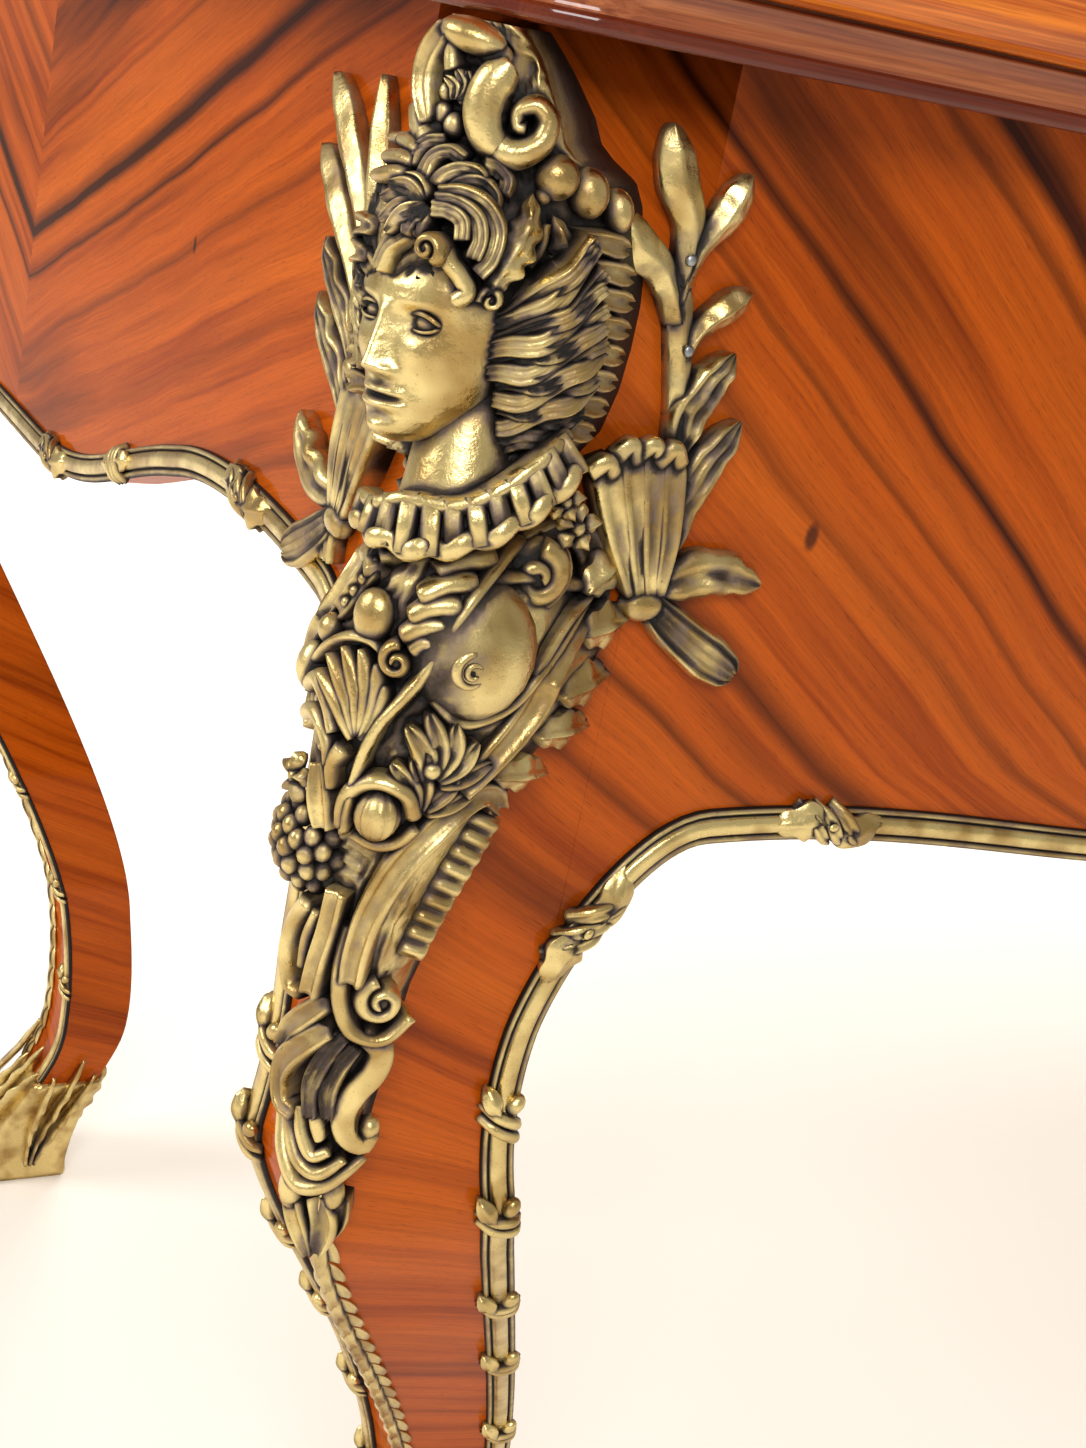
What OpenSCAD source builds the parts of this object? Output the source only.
// Writing desk with a leather-lined top, three front drawers and four cabriole legs.
// The back and the two ends are plain veneered panels with shaped lower edges.
// Gilt castings dress the corners, the lower edges, the leg arrises and the feet.
// Millimetres. Origin on the floor under the middle of the desk, front toward -Y, up is +Z.

/* [Overall] */
// length of the framework over the outer faces of the leg blocks
frame_length = 1520; // [1440:10:1640]
// depth of the framework from the front face to the back face
frame_depth = 800; // [760:10:860]
// height of the desk from the floor to the top of the moulding
desk_height = 780; // [765:1:795]

/* [Top] */
// thickness of the moulded top
top_thickness = 31; // [29:1:36]
// how far the rounded nose stands out from the framework
top_overhang = 34; // [30:1:42]
// radius of the four corners of the top, seen from above
top_corner_radius = 52; // [48:1:60]
// width of the moulded edge piece, nose to inner joint
edge_width = 40; // [34:1:44]
// height of the hollow band under the nose
edge_band_height = 13; // [11:0.5:14]
// thickness of the veneer border and of the leather
lining_thickness = 3; // [2:0.5:4]
// width of the veneer border between moulding and leather
border_width = 62; // [50:1:80]
// how far the leather lies below the border
leather_drop = 0.6; // [0.3:0.1:1]

/* [Framework] */
// side of the square block at the head of each leg
leg_block = 52; // [48:1:56]
// width of the front post beside each leg block
corner_post = 44; // [40:1:48]
// thickness of the front, back and end panels
panel_thickness = 20; // [18:1:24]
// height of the rail above the drawers
top_rail_height = 14; // [13:0.5:18]
// depth of the side drawer openings below the framework top
side_opening_depth = 136; // [128:1:138]
// depth of the middle drawer opening below the framework top
middle_opening_depth = 108; // [104:1:112]
// width of the middle drawer opening
middle_opening_width = 530; // [480:5:560]
// width of the upright between two drawers
upright_width = 25; // [22:1:30]
// thickness of the partition behind each upright
partition_thickness = 12; // [10:1:14]
// thickness of the drawer runners
runner_thickness = 10; // [8:0.5:10]
// how far each runner and kicker reaches under or over a drawer side
runner_reach = 22; // [18:1:30]
// gap between the top rail and the kicker behind it
kicker_gap = 0.3; // [0.2:0.1:0.5]
// height of the guide fillet beside each drawer
guide_height = 18; // [12:1:24]

/* [Lower edges] */
// depth of the lower edge where it springs from each leg
spring_depth = 249; // [244:1:256]
// depth of the long sides near the legs
long_depth = 194; // [190:1:200]
// depth of the long sides at the lowest point under each side drawer
long_dip = 207; // [204:1:214]
// depth of the long sides over the kneehole
kneehole_depth = 132; // [128:1:138]
// depth of the end panels at the rise beside each leg
end_rise = 148; // [148:1:154]
// depth of the end panels at the middle
end_dip = 194; // [186:1:204]

/* [Legs] */
// depth below the framework top at which the leg leaves the vertical
knee_depth = 302; // [294:1:312]
// inward sweep of the outer faces at the ankle
ankle_inset = 128; // [116:1:134]
// width of each face at the ankle
ankle_width = 38; // [34:1:42]
// inward position of the outer faces on the floor
toe_inset = 100; // [90:1:108]
// width of each face on the floor
toe_width = 42; // [38:1:46]

/* [Castings] */
// width of the reeded edge trim
trim_width = 9.4; // [8.6:0.2:10.4]
// how far the edge trim stands out from the wood
trim_proud = 3; // [2.5:0.1:3.5]
// width of the arris strip on each face of the leg
arris_width = 7; // [6:0.5:8]
// how far the arris strip stands out from the wood
arris_proud = 2.5; // [2:0.1:3]
// height of the foot shoes
shoe_height = 78; // [70:1:86]
// height of the lower rim of the foot shoes above the floor
shoe_lift = 1.5; // [1:0.5:3]
// thickness of the foot shoes
shoe_wall = 3; // [2.5:0.1:3.5]
// height of the corner figure
figure_height = 288; // [280:1:290]
// thickness of the leaf sprays
spray_thickness = 4; // [3:0.5:5]

/* [Drawers] */
// gap round each drawer front
front_gap = 1; // [0.8:0.1:1.5]
// gap between drawer and runner
run_gap = 0.3; // [0.3:0.1:0.5]
// thickness of a drawer front
front_thickness = 20; // [18:1:22]
// length of a drawer, front face to back
drawer_length = 690; // [620:10:690]
// thickness of drawer sides and back
side_thickness = 10; // [8:1:12]
// thickness of a drawer bottom
bottom_thickness = 6; // [5:1:8]
// height of the drawer bottom above the lower edge of the sides
bottom_lift = 6; // [4:1:10]
// how far the drawer sides end below the top of the front
side_drop = 2; // [1.5:0.1:4]

/* [Drawer fittings] */
// width of the lock case
lock_width = 50; // [44:1:56]
// height of the lock case
lock_height = 62; // [58:1:64]
// thickness of the lock case
lock_thickness = 8; // [8:0.5:9]
// depth of the keyhole below the top of the drawer front
key_drop = 46; // [42:1:47]
// diameter of the key stem
key_stem = 5; // [4.5:0.1:5.5]
// gap round the key stem
key_gap = 0.3; // [0.25:0.05:0.4]
// width of the lock bolt
bolt_width = 20; // [16:1:24]
// thickness of the lock bolt
bolt_thickness = 4.4; // [4:0.1:4.8]
// height of the lock bolt
bolt_height = 16; // [15:0.5:17]
// gap round the lock bolt
bolt_gap = 0.4; // [0.3:0.1:0.5]
// depth of the bolt mortise in the top rail
mortise_depth = 10; // [9.5:0.1:11]
// inset of the casting frame from the edge of a drawer front
frame_inset = 12; // [10:1:16]
// width of the casting frame on a drawer front
frame_width = 8; // [7:0.5:9]
// how far the casting frame stands out
frame_proud = 4; // [3:0.5:5]
// distance between the two posts of a handle
handle_span = 76; // [66:1:84]
// distance from the side of a drawer opening to the outer post of a handle
handle_inset = 41; // [38:1:50]
// radius of the handle bar
handle_bar = 4; // [3.5:0.1:4.5]
// how far the middle of the handle bar stands off the front
handle_standoff = 18; // [16:1:20]

/* [Hidden] */
$fn = 48;
half_length = frame_length / 2;
half_depth = frame_depth / 2;
frame_top = desk_height - top_thickness;
front_face = -half_depth;
middle_half = middle_opening_width / 2;
upright_out = middle_half + upright_width;
side_opening_width = half_length - leg_block - corner_post - upright_out;
side_centre = upright_out + side_opening_width / 2;
partition_at = middle_half + upright_width / 2;
rail_under = frame_top - top_rail_height;
side_floor = frame_top - side_opening_depth;
middle_floor = frame_top - middle_opening_depth;
side_height = rail_under - side_floor;
middle_height = rail_under - middle_floor;
// each drawer bay: middle across, floor, width, height
left_bay = [-side_centre, side_floor, side_opening_width, side_height];
right_bay = [side_centre, side_floor, side_opening_width, side_height];
middle_bay = [0, middle_floor, middle_opening_width, middle_height];
slant = sqrt(2);
steps = 8;

// one point of a curve with two end points and two pull points
function curve_at(a, b, c, d, t) =
    a * pow(1 - t, 3) + b * 3 * t * pow(1 - t, 2) + c * 3 * t * t * (1 - t) + d * pow(t, 3);
// the points of such a curve after its start, up to and with its end
function curve(a, b, c, d) = [for (i = [1:steps]) curve_at(a, b, c, d, i / steps)];
// a list of points in the opposite order
function turned(list) = [for (i = [len(list) - 1:-1:0]) list[i]];
// points moved sideways by a distance, square to the run of the line
function run_at(list, i) = list[min(i + 1, len(list) - 1)] - list[max(i - 1, 0)];
function square_to(v) = [-v[1], v[0]] / norm(v);
function beside(list, dist) = [for (i = [0:len(list) - 1]) list[i] + dist * square_to(run_at(list, i))];
// points shifted across
function shifted(list, dist) = [for (p = list) [p[0] + dist, p[1]]];
// points at or above and at or below a height
function above(list, z) = [for (p = list) if (p[1] >= z) p];
function below(list, z) = [for (p = list) if (p[1] <= z) p];

// outer edge of a leg from its head to the floor, as inset and height
// the bends below the knee are shares of the height of the knee
knee_height = frame_top - knee_depth;
calf_height = knee_height * 0.46;
ankle_height = knee_height * 0.28;
leg_outer = concat(
    [[0, frame_top], [0, knee_height]],
    curve([0, knee_height], [0, knee_height * 0.935],
        [ankle_inset * 0.76, knee_height * 0.66], [ankle_inset * 0.945, calf_height]),
    curve([ankle_inset * 0.945, calf_height], [ankle_inset, knee_height * 0.385],
        [ankle_inset, knee_height * 0.325], [ankle_inset, ankle_height]),
    curve([ankle_inset, ankle_height], [ankle_inset, ankle_height * 0.68],
        [toe_inset + 11, ankle_height * 0.5], [toe_inset + 4, ankle_height * 0.32]),
    curve([toe_inset + 4, ankle_height * 0.32], [toe_inset, ankle_height * 0.22],
        [toe_inset, ankle_height * 0.14], [toe_inset, 0]));
// inner edge of a leg from the springing to the floor
ankle_in = ankle_inset + ankle_width;
toe_in = toe_inset + toe_width;
spring_z = frame_top - spring_depth;
leg_inner = concat(
    [[leg_block, frame_top], [leg_block, spring_z]],
    curve([leg_block, spring_z], [leg_block - 4, spring_z - 26],
        [leg_block + 2, knee_height * 0.998], [leg_block + 16, knee_height * 0.935]),
    curve([leg_block + 16, knee_height * 0.935], [leg_block + 45, knee_height * 0.8],
        [ankle_in - 10, knee_height * 0.575], [ankle_in - 5, knee_height * 0.436]),
    curve([ankle_in - 5, knee_height * 0.436], [ankle_in - 1, knee_height * 0.372],
        [ankle_in + 1, knee_height * 0.322], [ankle_in, ankle_height]),
    curve([ankle_in, ankle_height], [ankle_in - 1, ankle_height * 0.736],
        [toe_in + 3, ankle_height * 0.528], [toe_in, 0]));
leg_line = concat(leg_outer, turned(leg_inner));

// lower edge of a long side from leg to middle, as distance from the end and height
step_at = half_length - middle_half - 35;
dip_at = (leg_block + step_at) / 2 + 34;
long_z = frame_top - long_depth;
long_edge = concat(
    [[leg_block, spring_z]],
    curve([leg_block, spring_z], [leg_block + 4, (2 * spring_z + long_z) / 3 + 2],
        [leg_block + 22, long_z - 1], [leg_block + 40, long_z]),
    curve([leg_block + 40, long_z], [leg_block + 112, long_z + 4],
        [dip_at - 70, frame_top - long_dip], [dip_at, frame_top - long_dip]),
    curve([dip_at, frame_top - long_dip], [dip_at + 60, frame_top - long_dip],
        [step_at - 45, frame_top - long_dip + 8], [step_at, frame_top - long_dip + 30]),
    curve([step_at, frame_top - long_dip + 30], [step_at + 36, frame_top - long_dip + 48],
        [step_at + 60, frame_top - kneehole_depth], [step_at + 160, frame_top - kneehole_depth]));
// lower edge of an end from leg to middle
rise_z = frame_top - end_rise;
end_edge = concat(
    [[leg_block, rise_z - 19]],
    curve([leg_block, rise_z - 19], [leg_block, rise_z - 9],
        [leg_block + 5, rise_z - 3.5], [leg_block + 16, rise_z - 2.3]),
    curve([leg_block + 16, rise_z - 2.3], [leg_block + 40, rise_z + 1],
        [leg_block + 98, rise_z + 6], [leg_block + 140, rise_z - 7]),
    curve([leg_block + 140, rise_z - 7], [leg_block + 200, rise_z - 22],
        [half_depth - 115, frame_top - end_dip], [half_depth - 40, frame_top - end_dip]));

// elevation points of a face placed from its middle, from one leg to the other
function across(edge, half) = concat(shifted(edge, -half), turned([for (p = edge) [half - p[0], p[1]]]));

// solid standing in the plane of a face, its thickness running inward from y = 0
module upright_plate(thick) translate([0, thick, 0]) rotate([90, 0, 0]) linear_extrude(thick) children();
// the same solid turned to face the end of the desk
module end_plate(thick) rotate([90, 0, 90]) linear_extrude(thick) children();

// copies from the front left corner to any corner
module at_corner(right, back) {
    mirror([right, 0, 0])
    mirror([0, back, 0])
    translate([-half_length, -half_depth, 0])
    children();
}

// solid common to one outline seen from the front and the same outline seen from the end
module both_ways(line, start, span) {
    intersection() {
        translate([0, start, 0]) upright_plate(span) polygon(line);
        translate([start, 0, 0]) end_plate(span) polygon(line);
    }
}

module leg_solid() both_ways(leg_line, -1, ankle_in + toe_width);
module leg(right, back) color("saddlebrown") at_corner(right, back) leg_solid();

// panel with a shaped lower edge between two leg blocks
module panel_shape(edge, half) {
    polygon(concat([[half - leg_block, frame_top], [leg_block - half, frame_top]], across(edge, half)));
}
module back_panel() color("sienna") {
    translate([0, half_depth - panel_thickness, 0])
    upright_plate(panel_thickness)
    panel_shape(long_edge, half_length);
}
module end_panel(right) color("sienna") {
    mirror([right, 0, 0])
    translate([-half_length, 0, 0])
    end_plate(panel_thickness)
    panel_shape(end_edge, half_depth);
}

// apron under the drawers, stepped up over the kneehole, with a post beside each leg
module front_apron() color("sienna") {
    leg_at = half_length - leg_block;
    post_at = leg_at - corner_post;
    right_half = [[leg_at, rail_under], [post_at, rail_under], [post_at, side_floor],
        [middle_half, side_floor], [middle_half, middle_floor]];
    left_half = turned([for (p = right_half) [-p[0], p[1]]]);
    translate([0, front_face, 0])
    upright_plate(panel_thickness)
    polygon(concat(right_half, left_half, across(long_edge, half_length)));
}

// rail above the drawers with a mortise for each lock bolt
module top_rail() color("sienna") {
    slot_x = bolt_width + 2;
    slot_y = bolt_thickness + 1.6;
    slot_at = front_face + front_thickness - lock_thickness / 2;
    difference() {
        translate([leg_block - half_length, front_face, rail_under])
            cube([frame_length - 2 * leg_block, panel_thickness, top_rail_height]);
        for (x = [-side_centre, 0, side_centre])
            translate([x - slot_x / 2, slot_at - slot_y / 2, rail_under - 1])
                cube([slot_x, slot_y, mortise_depth + 1]);
    }
}

// upright, partition and kicker between a side drawer and the middle drawer
module divider(right) color("peru") {
    deep = frame_depth - 2 * panel_thickness;
    mirror([right, 0, 0]) {
        translate([-upright_out, front_face, side_floor])
            cube([upright_width, panel_thickness, side_height]);
        translate([-partition_at - partition_thickness / 2, front_face + panel_thickness, side_floor])
            cube([partition_thickness, deep, side_height]);
        translate([-upright_out - runner_reach, front_face + panel_thickness + kicker_gap, rail_under])
            cube([upright_width + 2 * runner_reach, deep - kicker_gap, top_rail_height]);
    }
}

// runner with its guide fillet along one side of a drawer, and a stop at the back
module runner(x0, x1, guide_x, floor_z, y0, y1) {
    stop_y = front_face + drawer_length + 0.5;
    low = min(x0, x1);
    translate([low, y0, floor_z - runner_thickness])
        cube([abs(x1 - x0), y1 - y0, runner_thickness]);
    translate([min(x0, guide_x), y0, floor_z])
        cube([abs(guide_x - x0), y1 - y0, guide_height]);
    translate([low, stop_y, floor_z])
        cube([abs(x1 - x0), 14, guide_height]);
}
module side_runners(right) color("burlywood") {
    wall = half_length - panel_thickness;
    block = half_length - leg_block - corner_post;
    inner = partition_at + partition_thickness / 2;
    block_y = half_depth - leg_block;
    panel_y = half_depth - panel_thickness;
    mirror([right, 0, 0]) {
        runner(-wall, -block + runner_reach, -block, side_floor, -block_y, block_y);
        translate([-wall, -block_y, rail_under])
            cube([wall - block + runner_reach, 2 * block_y, top_rail_height]);
        runner(-inner, -upright_out - runner_reach, -upright_out, side_floor, -panel_y, panel_y);
    }
}
module middle_runners() color("burlywood") {
    inner = partition_at - partition_thickness / 2;
    panel_y = half_depth - panel_thickness;
    for (side = [0, 1])
        mirror([side, 0, 0])
        runner(-inner, runner_reach - middle_half, -middle_half, middle_floor, -panel_y, panel_y);
}

// profile of the moulded edge, nose at x = 0, underside at y = 0
nose_radius = (top_thickness - edge_band_height - 0.5) / 2;
module edge_profile() {
    nose_z = top_thickness - nose_radius;
    under = -nose_radius - 4;
    polygon([[-edge_width, 0], [under, 0], [under + 1.6, 3], [under + 2.2, edge_band_height / 2 + 1],
        [under + 3.4, edge_band_height], [-nose_radius, edge_band_height + 0.5],
        [-nose_radius, top_thickness], [-edge_width, top_thickness]]);
    intersection() {
        translate([-nose_radius, nose_z]) circle(r = nose_radius);
        translate([-nose_radius - 0.5, 0]) square([nose_radius + 1, top_thickness]);
    }
}
module top_edge() color("chocolate") {
    straight_x = half_length + top_overhang - top_corner_radius;
    straight_y = half_depth + top_overhang - top_corner_radius;
    translate([0, 0, frame_top]) {
        for (turn = [0, 180]) rotate([0, 0, turn]) {
            translate([half_length + top_overhang, straight_y, 0])
                rotate([90, 0, 0]) linear_extrude(2 * straight_y) edge_profile();
            translate([-straight_x, half_depth + top_overhang, 0])
                rotate([90, 0, 90]) linear_extrude(2 * straight_x) edge_profile();
            translate([straight_x, straight_y, 0])
                rotate_extrude(angle = 90) translate([top_corner_radius, 0]) edge_profile();
            translate([-straight_x, straight_y, 0])
                rotate([0, 0, 90])
                rotate_extrude(angle = 90) translate([top_corner_radius, 0]) edge_profile();
        }
    }
}

// plan of the board inside the moulded edge, drawn in by a margin
module board_plan(margin) {
    round_r = top_corner_radius - edge_width;
    x = half_length + top_overhang - edge_width - margin;
    y = half_depth + top_overhang - edge_width - margin;
    if (margin > 0) square([2 * x, 2 * y], center = true);
    else {
        square([2 * x, 2 * (y - round_r)], center = true);
        square([2 * (x - round_r), 2 * y], center = true);
        for (sx = [-1, 1], sy = [-1, 1])
            translate([sx * (x - round_r), sy * (y - round_r)]) circle(r = round_r);
    }
}
module top_board() color("saddlebrown") {
    translate([0, 0, frame_top]) linear_extrude(top_thickness - lining_thickness) board_plan(0);
}
module top_border() color("sienna") {
    translate([0, 0, desk_height - lining_thickness])
    linear_extrude(lining_thickness)
    difference() {
        board_plan(0);
        board_plan(border_width);
    }
}
module top_leather() color("darkgreen") {
    translate([0, 0, desk_height - lining_thickness])
    linear_extrude(lining_thickness - leather_drop)
    board_plan(border_width);
}

// front board of a drawer, with the lock pocket and the keyhole
module drawer_front(bay) color("sienna") {
    x = bay[0];
    floor_z = bay[1];
    wide = bay[2];
    high = bay[3];
    top_z = floor_z + high - front_gap;
    difference() {
        translate([x - wide / 2 + front_gap, front_face, floor_z + front_gap])
            cube([wide - 2 * front_gap, front_thickness, high - 2 * front_gap]);
        translate([x - lock_width / 2, front_face + front_thickness - lock_thickness, top_z - lock_height])
            cube([lock_width, lock_thickness + 1, lock_height + 1]);
        translate([x, front_face - 1, top_z - key_drop])
            rotate([-90, 0, 0]) cylinder(d = key_stem + 2 * key_gap, h = front_thickness);
    }
}
// sides and back of a drawer
module drawer_box(bay) color("burlywood") {
    tall = bay[3] - side_drop - run_gap;
    long = drawer_length - front_thickness;
    out = bay[2] / 2 - front_gap;
    translate([bay[0], front_face + front_thickness, bay[1] + run_gap]) {
        for (side = [-out, out - side_thickness])
            translate([side, 0, 0]) cube([side_thickness, long, tall]);
        translate([side_thickness - out, long - side_thickness, 0])
            cube([2 * (out - side_thickness), side_thickness, tall]);
    }
}
module drawer_bottom(bay) color("wheat") {
    out = bay[2] / 2 - front_gap - side_thickness;
    translate([bay[0] - out, front_face + front_thickness, bay[1] + run_gap + bottom_lift])
        cube([2 * out, drawer_length - front_thickness - side_thickness, bottom_thickness]);
}
// lock case let into the back of a drawer front, with the bolt channel and the key socket
module lock_case(bay) color("goldenrod") {
    x = bay[0];
    top_z = bay[1] + bay[3] - front_gap;
    back_y = front_face + front_thickness;
    mid_y = back_y - lock_thickness / 2;
    slot_x = bolt_width + 2 * bolt_gap;
    slot_y = bolt_thickness + 2 * bolt_gap;
    difference() {
        translate([x - lock_width / 2, back_y - lock_thickness, top_z - lock_height])
            cube([lock_width, lock_thickness, lock_height]);
        translate([x - slot_x / 2, mid_y - slot_y / 2, top_z - bolt_height - 1])
            cube([slot_x, slot_y, bolt_height + 2]);
        translate([x, back_y - lock_thickness - 1, top_z - key_drop])
            rotate([-90, 0, 0]) cylinder(d = key_stem + 2 * key_gap, h = lock_thickness - 1);
    }
}
// bolt drawn down flush with the top of the case
module lock_bolt(bay) color("lightgray") {
    x = bay[0];
    top_z = bay[1] + bay[3] - front_gap;
    mid_y = front_face + front_thickness - lock_thickness / 2;
    translate([x - bolt_width / 2, mid_y - bolt_thickness / 2, top_z - bolt_height - 0.4])
        cube([bolt_width, bolt_thickness, bolt_height]);
}
// key with a round stem, a collar and a ring bow
module lock_key(bay) color("gold") {
    stem_end = front_thickness - lock_thickness + 5.4;
    bow = 10;
    bow_bar = 2.2;
    stem_out = 12;
    translate([bay[0], front_face, bay[1] + bay[3] - front_gap - key_drop]) {
        translate([0, -stem_out, 0])
            rotate([-90, 0, 0]) cylinder(d = key_stem, h = stem_out + stem_end);
        translate([0, -stem_out - 1, 0])
            rotate([-90, 0, 0]) cylinder(d = key_stem + 3, h = 3);
        translate([0, -stem_out - bow + 1, 0])
            rotate([0, 90, 0]) rotate_extrude() translate([bow, 0]) circle(r = bow_bar, $fn = 24);
    }
}
// cast frame round a drawer front and the keyhole plate inside it
module front_castings(bay) color("gold") {
    high = bay[3];
    w = bay[2] - 2 * front_gap - 2 * frame_inset;
    h = high - 2 * front_gap - 2 * frame_inset;
    key_z = high - front_gap - key_drop;
    translate([bay[0], front_face - frame_proud, bay[1]]) upright_plate(frame_proud) {
        translate([0, high / 2]) difference() {
            square([w, h], center = true);
            square([w - 2 * frame_width, h - 2 * frame_width], center = true);
        }
        translate([0, key_z]) difference() {
            union() {
                circle(d = 30);
                translate([0, 13]) circle(d = 18);
                translate([0, -13]) circle(d = 18);
                for (side = [-1, 1]) translate([side * 13, 4]) circle(d = 16);
                for (side = [-1, 1]) translate([side * 11, -7]) circle(d = 14);
            }
            circle(d = key_stem + 2 * key_gap + 0.4);
        }
    }
}
// two fixed drop handles on a side drawer
module handles(bay) color("gold") {
    from_middle = bay[2] / 2 - handle_inset - handle_span / 2;
    for (side = [-1, 1])
        translate([bay[0] + side * from_middle, front_face, bay[1] + bay[3] / 2 + 12]) {
            for (post = [-1, 1]) translate([post * handle_span / 2, 0, 0]) {
                rotate([90, 0, 0]) cylinder(d = 24, h = 4);
                rotate([90, 0, 0]) cylinder(d = 11, h = handle_standoff + handle_bar);
            }
            translate([0, -handle_standoff, 0])
                rotate([90, 180, 0]) rotate_extrude(angle = 180)
                translate([handle_span / 2, 0]) circle(r = handle_bar, $fn = 24);
        }
}

// stations of the corner figure: share of its height, reach along each face, projection at the arris
figure_stations = [[0, 9, 6], [0.04, 17, 16], [0.10, 24, 20], [0.17, 32, 22], [0.23, 38, 31], [0.31, 37, 34],
    [0.37, 28, 26], [0.41, 40, 33], [0.48, 52, 30], [0.54, 46, 31], [0.60, 34, 31], [0.65, 30, 25],
    [0.70, 24, 26], [0.75, 19, 25], [0.80, 15, 21], [0.86, 13, 17], [0.91, 11, 13], [0.96, 9, 10], [1, 5, 5]];
figure_ring = 10;
// plan points of one station round the outside, from one face of the block to the other
function figure_point(st, t) = [st[1] / slant * sin(90 * t),
    -st[2] + (st[2] + st[1] / slant) * pow(abs(t), 2.2), frame_top - 2 - st[0] * figure_height];
function figure_row(st) = concat([[0, 0, frame_top - 2 - st[0] * figure_height]],
    [for (k = [-figure_ring:figure_ring]) figure_point(st, k / figure_ring)]);
// corner figure as a mass wrapped round the arris of the leg block
module corner_figure(right, back) color("gold") {
    rows = len(figure_stations);
    n = 2 * figure_ring + 2;
    points = [for (st = figure_stations) each figure_row(st)];
    sides = [for (r = [0:rows - 2], k = [0:n - 1]) each [
        [r * n + k, r * n + (k + 1) % n, (r + 1) * n + k],
        [r * n + (k + 1) % n, (r + 1) * n + (k + 1) % n, (r + 1) * n + k]]];
    caps = [[for (k = [n - 1:-1:0]) k], [for (k = [0:n - 1]) (rows - 1) * n + k]];
    at_corner(right, back) rotate([0, 0, -45]) polyhedron(points, concat(sides, caps));
}

// one pointed leaf, base at the origin, tip toward +y
module leaf(long, wide) {
    r = (long * long + wide * wide) / (4 * wide);
    intersection() {
        translate([wide / 2 - r, long / 2]) circle(r = r);
        translate([r - wide / 2, long / 2]) circle(r = r);
    }
}
// straight piece of stem between two points
module stalk(a, b, thick) {
    run = b - a;
    translate(a) rotate([0, 0, atan2(run[1], run[0])]) translate([0, -thick / 2]) square([norm(run), thick]);
}
// spray of leaves beside the figure, drawn as distance from the arris and height from the frame top
module spray_leaves() {
    translate([47, -52]) rotate([0, 0, 15]) leaf(36, 13);
    translate([50, -56]) rotate([0, 0, -20]) leaf(32, 13);
    translate([52, -68]) rotate([0, 0, -42]) leaf(24, 11);
    translate([52, -84]) rotate([0, 0, -40]) leaf(25, 11);
    translate([54, -100]) rotate([0, 0, -48]) leaf(26, 11);
    translate([46, -60]) rotate([0, 0, 30]) leaf(28, 11);
    stalk([48, -50], [56, -92], 5);
    stalk([56, -90], [55, -130], 9);
    polygon([[38, -91], [46, -97], [56, -88], [61, -100], [58, -130], [52, -130], [42, -108]]);
    translate([54, -126]) rotate([0, 0, -86]) leaf(36, 13);
    translate([54, -128]) rotate([0, 0, -118]) leaf(34, 12);
    translate([56, -124]) rotate([0, 0, 172]) leaf(37, 12);
}
// outline of the figure on one face with a little clearance, as distance from the arris and depth
figure_outline = concat([[0, 0]], [for (st = figure_stations) [st[1] + 0.3, -2 - st[0] * figure_height]],
    [[0, -2 - figure_height]]);
// the leaves that show outside the figure and above a given depth
module spray_plan(lowest) {
    reach = (leg_block + corner_post - 2) / 94;
    tall = figure_height / 288;
    difference() {
        intersection() {
            scale([reach, tall]) spray_leaves();
            translate([0, -lowest]) square([120, lowest]);
        }
        polygon(figure_outline);
    }
}
module leaf_sprays(right, back) color("gold") {
    above_trim = end_rise - trim_width - 4;
    at_corner(right, back) {
        translate([0, -spray_thickness, frame_top]) upright_plate(spray_thickness) spray_plan(figure_height);
        translate([-spray_thickness, 0, frame_top]) end_plate(spray_thickness) spray_plan(above_trim);
    }
}

// skin standing out from the outer faces of the legs and panels, as distance inward and height
skin_line = above(leg_outer, shoe_height + 0.3);
trim_skin = concat(skin_line, turned(shifted(skin_line, -trim_proud)));
// edge trim along the inner edge of both legs and the lower edge between them, on one face
function trim_line(edge) = concat(
    turned(above([for (i = [2:len(leg_inner) - 1]) leg_inner[i]], shoe_height + 0.3)), edge);
function trim_band(edge, half) = concat(
    shifted(trim_line(edge), -half), turned([for (p = trim_line(edge)) [half - p[0], p[1]]]),
    [for (p = beside(trim_line(edge), trim_width)) [half - p[0], p[1]]],
    turned(shifted(beside(trim_line(edge), trim_width), -half)));
module edge_trim(edge, half, out) {
    intersection() {
        translate([0, -out - trim_proud - 1, 0])
            upright_plate(ankle_in + trim_proud + 2) difference() {
                polygon(trim_band(edge, half));
                for (s = [0, 1]) mirror([s, 0]) translate([-half, frame_top]) polygon(figure_outline);
            }
        translate([-half, -out, 0]) end_plate(2 * half) polygon(trim_skin);
    }
}
module long_trim(back) color("gold") mirror([0, back, 0]) edge_trim(long_edge, half_length, half_depth);
module end_trim(right) color("gold") {
    mirror([right, 0, 0]) rotate([0, 0, -90]) edge_trim(end_edge, half_depth, half_length);
}

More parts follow.
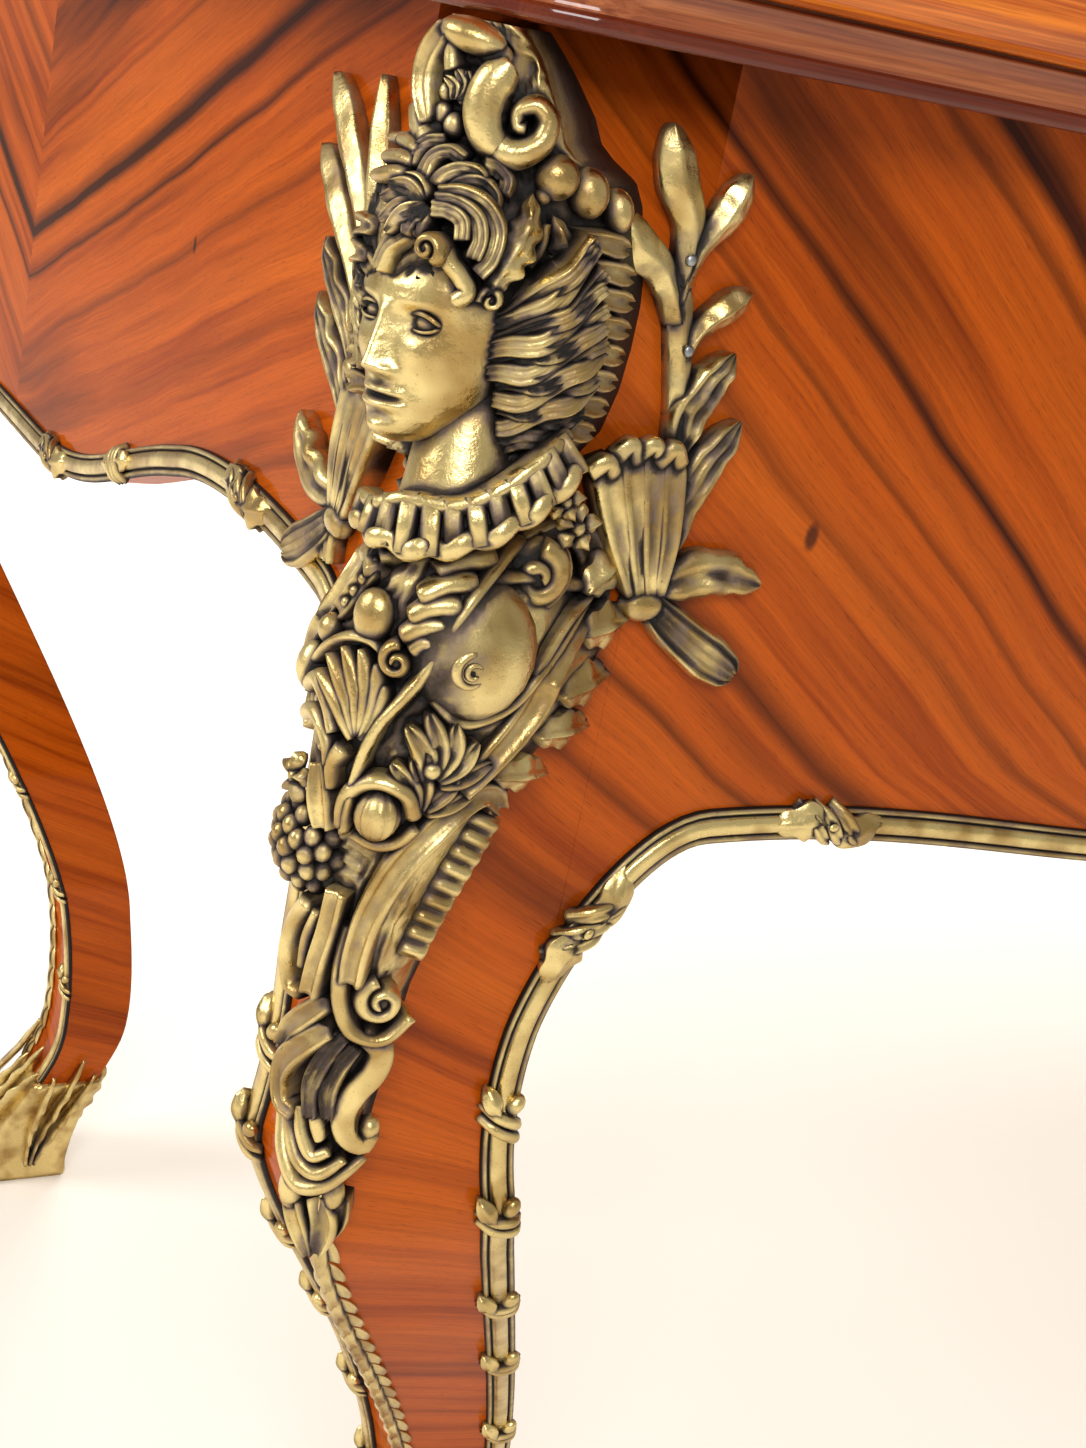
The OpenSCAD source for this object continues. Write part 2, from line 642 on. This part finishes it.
// strip wrapped round the arris of a leg below the figure, joined to the shoe on the foot
arris_top = frame_top - figure_height - 3;
arris_span = concat([[lookup(arris_top, [for (p = leg_outer) [p[1], p[0]]]), arris_top]],
    below(leg_outer, arris_top));
arris_line = concat(shifted(arris_span, -arris_proud), turned(shifted(arris_span, arris_width)));
shoe_outer = above(below(leg_outer, shoe_height), shoe_lift);
shoe_inner = above(below(leg_inner, shoe_height), shoe_lift);
shoe_line = concat(
    [[shoe_outer[0][0] - shoe_wall, shoe_height]], shifted(shoe_outer, -shoe_wall),
    [[toe_inset - shoe_wall, shoe_lift], [toe_in + shoe_wall, shoe_lift]],
    turned(shifted(shoe_inner, shoe_wall)), [[shoe_inner[0][0] + shoe_wall, shoe_height]]);
module foot_casting(right, back) color("gold") {
    at_corner(right, back) difference() {
        union() {
            both_ways(arris_line, -20, ankle_in + toe_width + 20);
            both_ways(shoe_line, -20, ankle_in + toe_width + 40);
        }
        both_ways(leg_line, -1, ankle_in + toe_width);
    }
}

top_edge();
top_board();
top_border();
top_leather();
leg(0, 0);  // leg_front_left
leg(1, 0);  // leg_front_right
leg(0, 1);  // leg_back_left
leg(1, 1);  // leg_back_right
back_panel();
end_panel(0);  // end_panel_left
end_panel(1);  // end_panel_right
front_apron();
top_rail();
divider(0);  // divider_left
divider(1);  // divider_right
side_runners(0);  // runners_left
middle_runners();  // runners_middle
side_runners(1);  // runners_right
drawer_front(left_bay);  // front_left
drawer_box(left_bay);  // box_left
drawer_bottom(left_bay);  // bottom_left
lock_case(left_bay);  // lock_left
lock_bolt(left_bay);  // bolt_left
lock_key(left_bay);  // key_left
front_castings(left_bay);  // castings_left
handles(left_bay);  // handles_left
drawer_front(middle_bay);  // front_middle
drawer_box(middle_bay);  // box_middle
drawer_bottom(middle_bay);  // bottom_middle
lock_case(middle_bay);  // lock_middle
lock_bolt(middle_bay);  // bolt_middle
lock_key(middle_bay);  // key_middle
front_castings(middle_bay);  // castings_middle
drawer_front(right_bay);  // front_right
drawer_box(right_bay);  // box_right
drawer_bottom(right_bay);  // bottom_right
lock_case(right_bay);  // lock_right
lock_bolt(right_bay);  // bolt_right
lock_key(right_bay);  // key_right
front_castings(right_bay);  // castings_right
handles(right_bay);  // handles_right
corner_figure(0, 0);  // figure_front_left
corner_figure(1, 0);  // figure_front_right
corner_figure(0, 1);  // figure_back_left
corner_figure(1, 1);  // figure_back_right
leaf_sprays(0, 0);  // sprays_front_left
leaf_sprays(1, 0);  // sprays_front_right
leaf_sprays(0, 1);  // sprays_back_left
leaf_sprays(1, 1);  // sprays_back_right
long_trim(0);  // trim_front
long_trim(1);  // trim_back
end_trim(0);  // trim_left
end_trim(1);  // trim_right
foot_casting(0, 0);  // foot_front_left
foot_casting(1, 0);  // foot_front_right
foot_casting(0, 1);  // foot_back_left
foot_casting(1, 1);  // foot_back_right
